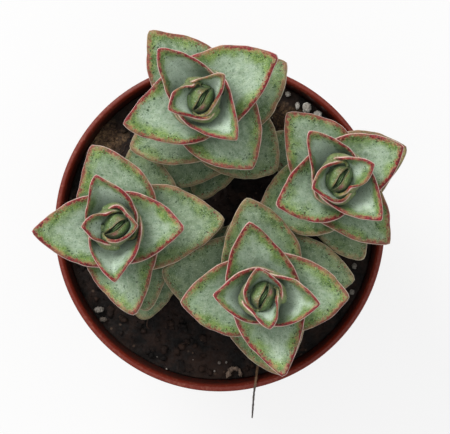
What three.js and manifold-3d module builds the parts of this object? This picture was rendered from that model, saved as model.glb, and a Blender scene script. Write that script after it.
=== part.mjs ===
// A small round nursery pot with four stems of string of buttons, a succulent whose thick leaves
// sit in opposite pairs that are joined round the stem. Millimetres, +Z up, origin on the pot's
// axis at the level that it stands on. -Y is the side that faces the viewer.
import * as THREE from 'three';
import { mergeVertices } from 'three/addons/utils/BufferGeometryUtils.js';
import Module from 'manifold-3d';

const wasm = await Module();
wasm.setup();

// Pot
const rimRadius = 40;
const potHeight = 66;
const footRadius = 28;
const wall = 1.2;
const collarDrop = 13;
const collarStep = 1.2;
const floorThickness = 1.4;
const floorRise = 2;
const hubRadius = 13;
const footRingWidth = 4;
const drainHoles = 6;
const drainRadius = 2.4;
const potSides = 48;

// Soil
const soilLevel = 59.5;
const soilSides = 40;
const soilClearance = 0.35;
const soilRelief = 0.5;
const rootDepth = 9;

// Stems and leaves
const stemRadius = 1.9;
const holeClearance = 0.35;
const rimSides = 20;
const levelling = 0.5;
const budRadius = 2.7;
const budHeight = 6.6;

// Loose things on the soil. Grains: middle seen from above, half sizes along X, Y and Z, and the
// number that varies the facets.
const seatGap = 0.3;
const grains = [
  { name: 'grain_back_large', at: [21.3, 29.1], half: [1.2, 1.4, 1], kind: 1 },
  { name: 'grain_back_slim', at: [19, 29.5], half: [0.6, 1, 0.6], kind: 2 },
  { name: 'grain_back_grey', at: [23.9, 27.2], half: [1.25, 1.25, 0.85], kind: 3 },
  { name: 'grain_back_far', at: [16.7, 32.4], half: [0.75, 0.7, 0.6], kind: 4 },
  { name: 'grain_left_large', at: [-29.6, -20.4], half: [1.4, 0.95, 0.9], kind: 5 },
  { name: 'grain_left_small', at: [-28.5, -22.8], half: [1.1, 0.7, 0.6], kind: 6 },
  { name: 'grain_right_inner', at: [32.9, -9.7], half: [0.75, 0.85, 0.65], kind: 7 },
  { name: 'grain_right_outer', at: [32.4, -16.1], half: [0.8, 0.8, 0.7], kind: 8 },
];
const huskMiddle = [3.6, -36.2];
const huskRadius = 2;
const huskThickness = 0.85;
const huskHeight = 1.6;
const stalkRadius = 0.34;
const stalkPoints = [
  [9.3, -34.4, 60.5],
  [9.1, -35.2, 63],
  [8.9, -36.4, 65.6],
  [8.6, -38.2, 66.95],
  [8.3, -40.4, 67.2],
  [8.1, -43.2, 66.6],
  [7.9, -46.4, 65.2],
];

// Each stem climbs evenly from its foot in the soil through a low and a high guide point to its
// head, the place and height of the youngest open pair. headings: degrees from +X of one leaf of
// each pair, from the top down. spread: how far each pair's tips stand out from the stem.
// budHeading: the way that the two closed leaves of the bud face. bends: how single leaves differ
// from an even pair: the age, 1 for the leaf at the heading or -1 for the one opposite it, how far
// the tip stands further out and further to the left, and how far the left and the right flank
// bulge, as seen from above when looking from the stem to the tip.
const plants = [
  {
    name: 'leafy_stem_back',
    foot: [3.5, 17],
    low: [1.3, 21.8],
    high: [-4, 31.3],
    head: [-4.5, 30.5, 102],
    headings: [31, 131, 203, 127, 29, 136, 49, 68, 150],
    spread: [7.1, 13.1, 18.9, 19.8, 20.8, 20.3, 19, 16, 12],
    budHeading: 156,
    bends: [
      [0, 1, 0, 0.4, -1.5, 0],
      [0, -1, -0.1, -0.3, 0, 0],
      [1, 1, -0.2, 0.2, -1.2, -0.9],
      [1, -1, 0.5, -0.3, -0.9, 0.3],
      [2, 1, -0.5, -0.4, 1, -1.2],
      [2, -1, 0.3, 0.6, 0.7, -0.1],
      [3, 1, -0.1, 0.4, 0.5, 1.1],
      [3, -1, -0.3, -0.6, 1.3, 1.8],
      [4, 1, -0.1, 0.2, 0, 1.6],
      [4, -1, -0.3, -0.3, 1.7, -0.5],
      [5, -1, -0.4, 0.5, 0.9, 1.4],
    ],
  },
  {
    name: 'leafy_stem_left',
    foot: [-14, 2],
    low: [-10, -0.5],
    high: [-26.6, -1.2],
    head: [-24.7, 0.5, 100],
    headings: [181, 100, 181, 106, 185, 93, 183, 80],
    spread: [6.1, 11.8, 17.2, 20, 22.1, 20.8, 17, 21],
    budHeading: 135,
    bends: [
      [1, 1, 0, 0.2, -1.7, 1.7],
      [1, -1, 0.2, -0.2, 1.1, -0.8],
      [2, 1, 0, 0.1, 0.7, 0.1],
      [2, -1, 0.1, 0, 1.2, -0.2],
      [3, 1, 0.2, 0.1, -0.2, 2.6],
      [3, -1, -0.4, -1, -1.2, 0.8],
      [4, 1, -0.3, -0.5, -0.9, 0],
      [4, -1, 0.7, 0.5, 1.2, 0],
      [5, 1, -0.8, 0.8, -1.8, 1.2],
      [5, -1, -1.4, -0.1, -1.9, 0],
      [7, 1, -8, 0, 0, 0],
      [7, -1, 2.6, -0.7, -0.2, 0],
    ],
  },
  {
    name: 'leafy_stem_right',
    foot: [20, 7],
    low: [25.5, 6.4],
    high: [27.4, 12.7],
    head: [27.6, 12.2, 99.5],
    headings: [21, 129, 25, 128, 27, 126, 16, 120],
    spread: [7.2, 12.7, 15.8, 19, 18.8, 18.8, 16, 14],
    budHeading: 155,
    bends: [
      [0, 1, 0.1, 0, -0.6, 0],
      [0, -1, 0.1, 0, 0.8, 0],
      [1, 1, -0.6, -0.3, -1.4, -0.9],
      [1, -1, 0.5, 0.3, -0.7, 0.2],
      [2, 1, -0.1, -0.1, 1.1, 0.5],
      [2, -1, 0.1, 0.1, 1.8, 0],
      [3, 1, 0.1, -0.2, -0.4, 1.2],
      [3, -1, -0.2, 0.1, -0.5, 0.6],
      [4, 1, 0.1, -0.1, 2.2, 0],
      [4, -1, -0.1, -1.2, 2.4, 1],
      [5, 1, -0.5, 2.7, 0, -0.3],
      [5, -1, -0.5, -3.3, -1.6, 0.8],
    ],
  },
  {
    name: 'leafy_stem_front',
    foot: [5, -1],
    low: [7.9, -5.4],
    high: [11.5, -17.6],
    head: [10.7, -15.6, 102],
    headings: [99, 176, 102, 181, 101, 354, 101, 178, 98],
    spread: [6.8, 11.7, 17.3, 19.2, 21.9, 21.4, 16.9, 15, 8],
    budHeading: 147,
    bends: [
      [0, 1, 0.1, 0.6, 0.6, -0.3],
      [0, -1, -0.2, -0.1, -1, -0.6],
      [1, 1, 0.1, -0.6, -0.2, 1.3],
      [1, -1, 0, 0.3, 0.5, -0.4],
      [2, 1, 0.9, 0.3, 0.7, -0.4],
      [2, -1, -0.1, 0.1, 0, -0.2],
      [3, 1, 0.2, 1, 1.8, 0.7],
      [3, -1, -0.1, -0.6, 1.2, 1.1],
      [4, 1, -0.6, -0.2, -0.8, 1.1],
      [4, -1, 0.1, 0.3, 0, 1.4],
      [5, 1, 1.1, 0.6, 2.1, 0],
      [5, -1, 1.2, 0.9, 3.4, 0],
      [6, 1, -3, -1.3, 0, 0],
    ],
  },
];

// Leaf form by age: 0 is the youngest open pair. A pair starts as a steep cup round the bud and
// opens to a wide, almost flat blade as it grows older.
const spacingBelow = (age) => 5 - 2 * Math.exp(-age / 1.3);
const tipRise = (age) => 9.5 * Math.exp(-(((age - 0.8) / 3) ** 2));
const widthShare = (age) => 0.44 + 0.24 * Math.exp(-age / 1.1);
const flankHollow = (age) => Math.max(0.1, 0.34 - 0.05 * age);
const midThickness = (age) => Math.min(3.2, 1.5 + 0.45 * age);
const edgeThickness = (age) => Math.min(1.3, 0.9 + 0.12 * age);
const cupFloor = (age) => 2.6 + 0.2 * Math.min(age, 5);
const tipPoint = (age) => 1.6 - 0.09 * Math.max(0, age - 3);
const flankCurve = 1.25;
const bulgeShare = 2.6;

function toSolid(geometry) {
  const bare = geometry.index ? geometry.clone() : geometry;
  bare.deleteAttribute('normal');
  bare.deleteAttribute('uv');
  const merged = mergeVertices(bare, 1e-4);
  return new wasm.Manifold(new wasm.Mesh({
    numProp: 3,
    vertProperties: merged.attributes.position.array,
    triVerts: Uint32Array.from(merged.index.array),
  }));
}

function toGeometry(solid) {
  const mesh = solid.getMesh();
  const geometry = new THREE.BufferGeometry();
  geometry.setAttribute('position', new THREE.BufferAttribute(mesh.vertProperties, 3));
  geometry.setIndex(new THREE.BufferAttribute(mesh.triVerts, 1));
  geometry.computeVertexNormals();
  return geometry;
}

function ringPoints(points) {
  return points.map(([radius, height]) => new THREE.Vector2(radius, height));
}

function lathe(points, sides) {
  const geometry = new THREE.LatheGeometry(ringPoints(points), sides);
  return geometry.rotateX(Math.PI / 2);
}

// Radius of the pot's outer wall below the collar, and of its collar, at a height.
const wallRadius = (height) => THREE.MathUtils.mapLinear(
  height, 0, potHeight - collarDrop, footRadius, rimRadius - 2.7,
);
const collarRadius = (height) => THREE.MathUtils.mapLinear(
  height, potHeight - collarDrop, potHeight, rimRadius - 2.7 + collarStep, rimRadius - 0.5,
);
const innerRadius = (height) => (
  height > potHeight - collarDrop + wall ? collarRadius(height) : wallRadius(height)
) - wall;

function potGeometry() {
  const step = potHeight - collarDrop;
  const ringInner = footRadius - footRingWidth;
  const profile = [
    [0, 0],
    [hubRadius, 0],
    [hubRadius + 1, floorRise],
    [ringInner - 1, floorRise],
    [ringInner, 0],
    [footRadius - 0.8, 0],
    [footRadius, 0.8],
    [wallRadius(step - 0.4), step - 0.4],
    [collarRadius(step), step],
    [collarRadius(potHeight - 1.8), potHeight - 1.8],
    [rimRadius - 0.1, potHeight - 1.3],
    [rimRadius, potHeight - 0.7],
    [rimRadius - 0.3, potHeight - 0.15],
    [rimRadius - 0.7, potHeight],
    [rimRadius - 1.25, potHeight - 0.25],
    [collarRadius(potHeight - 1.4) - wall, potHeight - 1.4],
    [collarRadius(step + wall) - wall, step + wall],
    [wallRadius(step) - wall, step],
    [wallRadius(floorRise + 3) - wall, floorRise + 3],
    [ringInner, floorRise + floorThickness],
    [hubRadius - 1.4, floorRise + floorThickness],
    [hubRadius - 2.4, floorThickness],
    [0, floorThickness],
  ];
  let pot = toSolid(lathe(profile, potSides));
  const drainRing = (hubRadius + ringInner) / 2;
  for (let index = 0; index < drainHoles; index += 1) {
    const turn = (index * 2 * Math.PI) / drainHoles;
    const drain = new THREE.CylinderGeometry(drainRadius, drainRadius, 8, 10);
    drain.rotateX(Math.PI / 2);
    drain.translate(drainRing * Math.cos(turn), drainRing * Math.sin(turn), 2);
    pot = pot.subtract(toSolid(drain));
  }
  return toGeometry(pot);
}

// The visible part of a stem, from the soil to its head.
function stemCurve({ foot, low, high, head }) {
  const third = (head[2] - soilLevel) / 3;
  const guides = [foot, low, high, head].map(
    ([x, y], index) => new THREE.Vector3(x, y, soilLevel + third * index),
  );
  return new THREE.CubicBezierCurve3(...guides);
}

// A round rod along a stem, run straight on into the soil for its root. With a clearance it is the
// room that the stem takes up in the soil.
function stemGeometry(curve, clearance = 0) {
  const depth = rootDepth + clearance;
  const root = curve.v0.clone().addScaledVector(curve.getTangent(0), -depth);
  const path = new THREE.CurvePath();
  path.add(new THREE.LineCurve3(root, curve.v0));
  path.add(curve);
  const section = new THREE.Shape();
  section.absarc(0, 0, stemRadius + clearance, 0, 2 * Math.PI);
  return new THREE.ExtrudeGeometry(section, {
    curveSegments: 4,
    steps: 14,
    bevelEnabled: false,
    extrudePath: path,
  });
}

// Seats a piece drawn round its own origin on the stem at a height, with its +X at the heading.
// Older leaves level themselves, so +Z lies between the stem's own direction and the vertical.
function seatOnStem(geometry, curve, height, heading) {
  const share = (height - curve.v0.z) / (curve.v3.z - curve.v0.z);
  const up = curve.getTangent(share).lerp(new THREE.Vector3(0, 0, 1), levelling).normalize();
  const turn = THREE.MathUtils.degToRad(heading);
  const out = new THREE.Vector3(Math.cos(turn), Math.sin(turn), 0);
  out.addScaledVector(up, -out.dot(up)).normalize();
  const side = new THREE.Vector3().crossVectors(up, out);
  const place = new THREE.Matrix4().makeBasis(out, side, up);
  place.setPosition(curve.getPoint(share));
  return geometry.applyMatrix4(place);
}

// What one leaf's bend adds to its outline, at a share of the way from the stem to its tip.
function bendAt(share, end, flank, age, bends) {
  const bend = bends.find((row) => row[0] === age && row[1] === end);
  if (!bend) return [0, 0];
  const [, , out, aside, left, right] = bend;
  const bulge = bulgeShare * share * (1 - share ** 2) * (flank > 0 ? left : -right);
  return [end * out * share ** 2, end * (aside * share ** 2 + bulge)];
}

// The outline of a pair seen from above, at one turn round it: two leaves with their tips on X.
function outlinePoint(turn, age, spread, bends) {
  const along = Math.cos(turn);
  const across = Math.sin(turn);
  const hollow = 1 - flankHollow(age) * Math.abs(along) ** 3;
  const breadth = Math.sign(across) * Math.abs(across) ** tipPoint(age) * hollow;
  const end = Math.sign(along);
  const [bendX, bendY] = bendAt(Math.abs(along), end, breadth * end, age, bends);
  return [spread * along + bendX, spread * widthShare(age) * breadth + bendY];
}

// One pair of leaves joined round the stem. A sphere's longitudes follow the pair's outline, and
// its latitudes run from the middle of the upper face over the edge to the middle of the lower
// face. The upper face has a flat floor and flanks that rise to the tips. The lower face lies
// square below it by the thickness, which thins out towards the edge.
function leafPairGeometry(age, spread, bends) {
  const rows = age < 3 ? 7 : 5;
  const floor = cupFloor(age);
  const blade = new THREE.SphereGeometry(1, rimSides, rows);
  blade.rotateX(Math.PI / 2);
  const place = blade.attributes.position;
  const point = new THREE.Vector3();
  for (let index = 0; index < place.count; index += 1) {
    point.fromBufferAttribute(place, index);
    const row = Math.round((Math.acos(THREE.MathUtils.clamp(point.z, -1, 1)) / Math.PI) * rows);
    const under = row > rows / 2;
    const out = (under ? rows - row : row) / ((rows - 1) / 2);
    const turn = Math.atan2(point.y, point.x);
    const [edgeX, edgeY] = outlinePoint(turn, age, spread, bends);
    const edge = Math.hypot(edgeX, edgeY);
    const climb = Math.max(0, edge * out - floor) / (spread - floor);
    let height = tipRise(age) * climb ** flankCurve;
    let radius = edge * out;
    if (under) {
      const slope = Math.atan(
        (tipRise(age) * flankCurve * climb ** (flankCurve - 1)) / (spread - floor),
      );
      const thickness = THREE.MathUtils.lerp(midThickness(age), edgeThickness(age), out ** 3);
      radius += thickness * Math.sin(slope);
      height -= thickness * Math.cos(slope);
    }
    place.setXYZ(index, (edgeX * radius) / edge, (edgeY * radius) / edge, height);
  }
  return blade;
}

// The bud: two closed leaves as an egg with a slit between them across its top.
function budGeometry() {
  const bud = new THREE.SphereGeometry(1, 14, 8);
  bud.rotateX(Math.PI / 2);
  const place = bud.attributes.position;
  for (let index = 0; index < place.count; index += 1) {
    const x = place.getX(index);
    const y = place.getY(index);
    const z = place.getZ(index);
    const slit = Math.exp(-((x / 0.3) ** 2)) * Math.max(0, z) ** 4;
    place.setXYZ(index, x * budRadius, y * budRadius * 1.1, budHeight * (0.4 + 0.6 * z) - slit);
  }
  return bud;
}

function plantSolid(plant, curve) {
  let solid = toSolid(stemGeometry(curve));
  let height = plant.head[2];
  solid = solid.add(toSolid(seatOnStem(budGeometry(), curve, height, plant.budHeading)));
  plant.spread.forEach((spread, age) => {
    const pair = leafPairGeometry(age, spread, plant.bends);
    solid = solid.add(toSolid(seatOnStem(pair, curve, height, plant.headings[age])));
    height -= spacingBelow(age);
  });
  return solid;
}

// Height of the soil's uneven top.
function soilTop(x, y) {
  const swell = Math.sin(x * 0.31 + 1.2) * Math.cos(y * 0.27 - 0.4) + 0.6 * Math.sin(x * 0.13 - y * 0.19);
  return soilLevel + soilRelief * swell;
}

function soilSolid(curves) {
  const bottom = floorRise + floorThickness + 0.4;
  const side = (height) => innerRadius(height) - soilClearance;
  const edge = side(soilLevel);
  const step = potHeight - collarDrop;
  const rings = [0.86, 0.7, 0.54, 0.38, 0.22, 0].map((share) => [edge * share, soilLevel]);
  const profile = [
    [0, bottom],
    [footRadius - footRingWidth - 1, bottom],
    [side(8), 8],
    [side(step), step + 0.2],
    [side(step + 2), step + 2],
    [edge, soilLevel - 0.6],
    ...rings,
  ];
  const geometry = lathe(profile, soilSides);
  const place = geometry.attributes.position;
  for (let index = 0; index < place.count; index += 1) {
    if (place.getZ(index) > soilLevel - 0.1) {
      place.setZ(index, soilTop(place.getX(index), place.getY(index)));
    }
  }
  let soil = toSolid(geometry);
  for (const curve of curves) {
    soil = soil.subtract(toSolid(stemGeometry(curve, holeClearance)));
  }
  return soil;
}

// A broken grain of pumice that lies on the soil.
function grainGeometry({ at, half, kind }) {
  const grain = new THREE.DodecahedronGeometry(1);
  const place = grain.attributes.position;
  for (let index = 0; index < place.count; index += 1) {
    const x = place.getX(index);
    const y = place.getY(index);
    const z = place.getZ(index);
    const push = 1 + 0.12 * Math.sin(2.3 * x + kind) * Math.cos(2.9 * y - 1.7 * kind + z);
    place.setXYZ(index, x * push * half[0], y * push * half[1], z * push * half[2]);
  }
  return seatOnSoil(grain, at);
}

// Moves a piece sideways to a place on the soil and lifts it until it just clears the surface.
function seatOnSoil(geometry, [x, y]) {
  geometry.translate(x, y, 0);
  const place = geometry.attributes.position;
  let lift = 0;
  for (let index = 0; index < place.count; index += 1) {
    lift = Math.max(lift, soilTop(place.getX(index), place.getY(index)) - place.getZ(index));
  }
  return geometry.translate(0, 0, lift + seatGap);
}

// A dry bud scale that has curled into an open hoop, standing on its edge on the soil.
function huskGeometry() {
  const section = new THREE.Shape();
  section.absarc(0, 0, huskRadius, -0.35, Math.PI + 0.45);
  section.absarc(0, 0, huskRadius - huskThickness, Math.PI + 0.45, -0.35, true);
  section.closePath();
  const husk = new THREE.ExtrudeGeometry(section, {
    curveSegments: 14,
    depth: huskHeight,
    bevelEnabled: false,
  });
  return seatOnSoil(husk, huskMiddle);
}

// A thin dry stalk that leans over the rim of the pot.
function stalkGeometry() {
  const points = stalkPoints.map(([x, y, z]) => new THREE.Vector3(x, y, z));
  const section = new THREE.Shape();
  section.absarc(0, 0, stalkRadius, 0, 2 * Math.PI);
  return new THREE.ExtrudeGeometry(section, {
    curveSegments: 3,
    steps: 16,
    bevelEnabled: false,
    extrudePath: new THREE.CatmullRomCurve3(points),
  });
}

const group = new THREE.Group();

function addMesh(name, geometry, color, roughness) {
  const material = new THREE.MeshStandardMaterial({ color, roughness, metalness: 0 });
  const mesh = new THREE.Mesh(geometry, material);
  mesh.name = name;
  group.add(mesh);
  return mesh;
}

addMesh('pot', potGeometry(), 0x7a3320, 0.45);
const curves = plants.map(stemCurve);
addMesh('soil', toGeometry(soilSolid(curves)), 0x241812, 0.95);
plants.forEach((plant, index) => {
  addMesh(plant.name, toGeometry(plantSolid(plant, curves[index])), 0x8fa888, 0.6);
});
grains.forEach((grain) => {
  addMesh(grain.name, toGeometry(toSolid(grainGeometry(grain))), 0xb9ae9f, 0.9);
});
addMesh('husk', toGeometry(toSolid(huskGeometry())), 0xa58f78, 0.8);
addMesh('dry_stalk', toGeometry(toSolid(stalkGeometry())), 0x5b4a3d, 0.8);

export default group;
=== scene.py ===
"""A potted string of buttons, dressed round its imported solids. Lengths in this script are
millimetres in the row frame, unless a name ends in _m, and are turned into metres when a mesh is made."""

import math

import bmesh
import bpy
import numpy as np
from mathutils import Matrix, Vector, noise


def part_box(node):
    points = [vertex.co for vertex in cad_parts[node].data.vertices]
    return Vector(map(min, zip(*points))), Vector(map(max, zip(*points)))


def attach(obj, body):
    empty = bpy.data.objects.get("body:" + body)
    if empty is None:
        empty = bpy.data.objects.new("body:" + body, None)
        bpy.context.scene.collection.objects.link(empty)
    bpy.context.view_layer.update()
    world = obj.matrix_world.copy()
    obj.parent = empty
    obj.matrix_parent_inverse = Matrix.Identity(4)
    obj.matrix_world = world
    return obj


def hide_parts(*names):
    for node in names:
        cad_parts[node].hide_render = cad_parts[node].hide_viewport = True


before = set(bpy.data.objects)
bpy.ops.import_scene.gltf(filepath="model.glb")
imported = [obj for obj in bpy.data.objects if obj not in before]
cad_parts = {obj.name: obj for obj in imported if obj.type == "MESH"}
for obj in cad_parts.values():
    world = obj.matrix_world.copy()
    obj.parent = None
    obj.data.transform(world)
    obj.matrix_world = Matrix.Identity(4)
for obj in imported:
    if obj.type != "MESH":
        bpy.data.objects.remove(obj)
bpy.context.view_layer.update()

MM = 0.001

# Camera, as the photograph was taken: almost straight down.
CAMERA_PLACE_M = (0.003, 0.010, 0.566)
CAMERA_AIM_M = (0.0013, 0.0024, 0.066)
CAMERA_LENS = 165.1
SENSOR_WIDTH = 36

# Pot
RIM_RADIUS = 40
POT_HEIGHT = 66
FOOT_RADIUS = 28
WALL = 1.2
WALL_FLARE = 9.3
COLLAR_DROP = 13
COLLAR_RADIUS = 38.5
COLLAR_FOOT = POT_HEIGHT - COLLAR_DROP
FLOOR_THICKNESS = 1.4
FLOOR_RISE = 2
HUB_RADIUS = 13
FOOT_RING_WIDTH = 4
RING_INNER = FOOT_RADIUS - FOOT_RING_WIDTH
DRAIN_HOLES = 6
DRAIN_RADIUS = 2.4
POT_SIDES = 192

# Soil
SOIL_LEVEL = 59.5
SOIL_FOOT = 3.65
SOIL_RELIEF = 0.5
SOIL_CLEARANCE = 0.2
SOIL_RINGS = 96
SOIL_SIDES = 420
CRUMB_COUNT = 900
FIBRE_COUNT = 14
TUFT_COUNT = 16
PERLITE_COUNT = 7

# Stems, as the solids have them. Each climbs evenly from its foot through a low and a high guide
# point to its head, the place and height of the youngest open pair. headings: degrees from +X of
# one leaf of each pair, from the top down. spread: how far each pair's tips stand out. bud_heading:
# the way across the bud's slit. bud_shift: how far the bud leans aside along X and Y. swirl: 1
# where each young leaf's left flank laps over the other leaf, or else -1. bends: for the age of a
# pair, how the leaf at the heading and the one opposite it differ from an even pair: how far the
# tip stands further out and further to the left, and how far the left and the right flank bulge.
STEM_RADIUS = 1.9
STEM_SIDES = 28
STEM_STEPS = 120
ROOT_DEPTH = 9
ROOT_SHARE = 0.2
LEVELLING = 0.5
EVEN = (0, 0, 0, 0)
PLANTS = [
    {
        "name": "back",
        "foot": (3.5, 17),
        "low": (1.3, 21.8),
        "high": (-4, 31.3),
        "head": (-4.5, 30.5, 102),
        "headings": (31, 131, 203, 127, 29, 136, 49, 68, 150),
        "spread": (7.1, 13.1, 18.9, 19.8, 20.8, 20.3, 19, 16, 12),
        "bud_heading": 156,
        "bud_shift": (0.6, -1.1),
        "swirl": 1,
        "bends": {
            0: ((0, 0.4, -1.5, 0), (-0.1, -0.3, 0, 0)),
            1: ((-0.2, 0.2, -1.2, -0.9), (0.5, -0.3, -0.9, 0.3)),
            2: ((-0.5, -0.4, 1, -1.2), (0.3, 0.6, 0.7, -0.1)),
            3: ((-0.1, 0.4, 0.5, 1.1), (-0.3, -0.6, 1.3, 1.8)),
            4: ((-0.1, 0.2, 0, 1.6), (-0.3, -0.3, 1.7, -0.5)),
            5: (EVEN, (-0.4, 0.5, 0.9, 1.4)),
        },
    },
    {
        "name": "left",
        "foot": (-14, 2),
        "low": (-10, -0.5),
        "high": (-26.6, -1.2),
        "head": (-24.7, 0.5, 100),
        "headings": (181, 100, 181, 106, 185, 93, 183, 80),
        "spread": (6.1, 11.8, 17.2, 20, 22.1, 20.8, 17, 21),
        "bud_heading": 135,
        "bud_shift": (1.5, 0.25),
        "swirl": 1,
        "bends": {
            1: ((0, 0.2, -1.7, 1.7), (0.2, -0.2, 1.1, -0.8)),
            2: ((0, 0.1, 0.7, 0.1), (0.1, 0, 1.2, -0.2)),
            3: ((0.2, 0.1, -0.2, 2.6), (-0.4, -1, -1.2, 0.8)),
            4: ((-0.3, -0.5, -0.9, 0), (0.7, 0.5, 1.2, 0)),
            5: ((-0.8, 0.8, -1.8, 1.2), (-1.4, -0.1, -1.9, 0)),
            7: ((-8, 0, 0, 0), (2.6, -0.7, -0.2, 0)),
        },
    },
    {
        "name": "right",
        "foot": (20, 7),
        "low": (25.5, 6.4),
        "high": (27.4, 12.7),
        "head": (27.6, 12.2, 99.5),
        "headings": (21, 129, 25, 128, 27, 126, 16, 120),
        "spread": (7.2, 12.7, 15.8, 19, 18.8, 18.8, 16, 14),
        "bud_heading": 155,
        "bud_shift": (-0.7, -0.45),
        "swirl": 1,
        "bends": {
            0: ((0.1, 0, -0.6, 0), (0.1, 0, 0.8, 0)),
            1: ((-0.6, -0.3, -1.4, -0.9), (0.5, 0.3, -0.7, 0.2)),
            2: ((-0.1, -0.1, 1.1, 0.5), (0.1, 0.1, 1.8, 0)),
            3: ((0.1, -0.2, -0.4, 1.2), (-0.2, 0.1, -0.5, 0.6)),
            4: ((0.1, -0.1, 2.2, 0), (-0.1, -1.2, 2.4, 1)),
            5: ((-0.5, 2.7, 0, -0.3), (-0.5, -3.3, -1.6, 0.8)),
        },
    },
    {
        "name": "front",
        "foot": (5, -1),
        "low": (7.9, -5.4),
        "high": (11.5, -17.6),
        "head": (10.7, -15.6, 102),
        "headings": (99, 176, 102, 181, 101, 354, 101, 178, 98),
        "spread": (6.8, 11.7, 17.3, 19.2, 21.9, 21.4, 16.9, 15, 8),
        "bud_heading": 147,
        "bud_shift": (-0.75, 0.75),
        "swirl": -1,
        "bends": {
            0: ((0.1, 0.6, 0.6, -0.3), (-0.2, -0.1, -1, -0.6)),
            1: ((0.1, -0.6, -0.2, 1.3), (0, 0.3, 0.5, -0.4)),
            2: ((0.9, 0.3, 0.7, -0.4), (-0.1, 0.1, 0, -0.2)),
            3: ((0.2, 1, 1.8, 0.7), (-0.1, -0.6, 1.2, 1.1)),
            4: ((-0.6, -0.2, -0.8, 1.1), (0.1, 0.3, 0, 1.4)),
            5: ((1.1, 0.6, 2.1, 0), (1.2, 0.9, 3.4, 0)),
            6: ((-3, -1.3, 0, 0), EVEN),
        },
    },
]


# Leaf form by age: 0 is the youngest open pair.
def spacing_below(age):
    return 5 - 2 * math.exp(-age / 1.3)


def tip_rise(age):
    return 9.5 * bell(age, 0.8, 3)


def width_share(age):
    return 0.44 + 0.24 * math.exp(-age / 1.1)


def flank_hollow(age):
    return max(0.1, 0.34 - 0.05 * age)


def mid_thickness(age):
    return min(3.2, 1.5 + 0.45 * age)


def edge_thickness(age):
    return min(1.25, 0.85 + 0.12 * age)


def cup_floor(age):
    return 2.6 + 0.2 * min(age, 5)


def tip_point(age):
    return 1.6 - 0.09 * max(0, age - 3)


FLANK_CURVE = 1.25
BULGE_SHARE = 2.6


# Numbers and turns


def bell(value, middle, width):
    """A soft hump: 1 at its middle and next to nothing two widths away."""
    return np.exp(-(((value - middle) / width) ** 2))


def smooth_step(low, high, value):
    share = np.clip((value - low) / (high - low), 0, 1)
    return share * share * (3 - 2 * share)


def blend(start, end, share):
    return start * (1 - share) + end * share


def bow(start, knee, end, share):
    """A curve that leaves its start and reaches its end in line with a knee between them."""
    return (1 - share) ** 2 * start + 2 * share * (1 - share) * knee + share**2 * end


def signed_power(value, power):
    return np.sign(value) * np.abs(value) ** power


def unit(vectors):
    return vectors / np.maximum(np.linalg.norm(vectors, axis=-1, keepdims=True), 1e-9)


def full_turn(count):
    """Even turns round a circle."""
    return np.linspace(0, 2 * math.pi, count, endpoint=False)


def ring(turn, radius, height):
    """Points round the Z axis."""
    return np.stack([radius * np.cos(turn), radius * np.sin(turn), height + 0 * turn], axis=-1)


def drift(x, y, seed, reach, size):
    """Smooth random swells over a plane, one for each of the points."""
    flat_x, flat_y = np.ravel(x) / reach, np.ravel(y) / reach
    swell = [noise.noise(Vector((a, b, seed * 7.3))) for a, b in zip(flat_x, flat_y)]
    return size * np.array(swell).reshape(np.shape(x))


# Meshes


class Body:
    """Vertices, faces and values per vertex of one closed skin, in millimetres. A single number
    counts for all its vertices."""

    def __init__(self, points, faces, **values):
        self.points = points
        self.faces = faces
        self.values = {}
        for key, value in values.items():
            self.values[key] = np.full(len(points), value) if np.isscalar(value) else value

    def moved(self, shift):
        self.points = self.points + shift
        return self

    def turned(self, degrees):
        cos, sin = math.cos(math.radians(degrees)), math.sin(math.radians(degrees))
        self.points = self.points @ np.array([[cos, sin, 0], [-sin, cos, 0], [0, 0, 1]])
        return self


def make_object(name, bodies, material):
    """One mesh object from closed skins, with their values as point attributes."""
    points, faces, start = [], [], 0
    for body in bodies:
        points.append(body.points)
        faces.extend([tuple(i + start for i in face) for face in body.faces])
        start += len(body.points)
    mesh = bpy.data.meshes.new(name)
    mesh.from_pydata((np.concatenate(points) * MM).tolist(), [], faces)
    for key in bodies[0].values:
        values = np.concatenate([body.values[key] for body in bodies]).astype(np.float32)
        kind, field = ("FLOAT_VECTOR", "vector") if values.ndim == 2 else ("FLOAT", "value")
        mesh.attributes.new(key, kind, "POINT").data.foreach_set(field, values.ravel())
    mesh.polygons.foreach_set("use_smooth", [True] * len(mesh.polygons))
    mesh.update()
    mesh.materials.append(material)
    return linked(name, mesh)


def linked(name, data):
    """An object of the scene that shows some data."""
    thing = bpy.data.objects.new(name, data)
    bpy.context.scene.collection.objects.link(thing)
    return thing


def keep(piece, slot, *nodes):
    """Tells the frame what a piece rides on, and hides the imported nodes that it stands for. slot is not
    used.
    """
    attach(piece, "root")
    if nodes:
        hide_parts(*nodes)
    return piece


def ring_faces(rows, sides):
    """Quads between rings of points, one ring after another."""
    faces = []
    for start in range(0, (rows - 1) * sides, sides):
        for side in range(sides):
            after = (side + 1) % sides
            faces.append((start + side, start + sides + side, start + sides + after, start + after))
    return faces


def closed_body(grid, top=None, bottom=None, **values):
    """A skin over rings of points, closed by a point at each end, or else by the end rings' middles."""
    rows, sides = grid.shape[:2]
    top = grid[0].mean(axis=0) if top is None else top
    bottom = grid[-1].mean(axis=0) if bottom is None else bottom
    points = np.concatenate([grid.reshape(-1, 3), [top], [bottom]])
    faces = ring_faces(rows, sides)
    last = (rows - 1) * sides
    for side in range(sides):
        after = (side + 1) % sides
        faces.append((len(points) - 2, side, after))
        faces.append((last + side, len(points) - 1, last + after))
    return Body(points, faces, **values)


# Stems


def stem_controls(plant):
    third = (plant["head"][2] - SOIL_LEVEL) / 3
    guides = [plant["foot"], plant["low"], plant["high"], plant["head"][:2]]
    return np.array([[x, y, SOIL_LEVEL + third * i] for i, (x, y) in enumerate(guides)])


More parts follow.
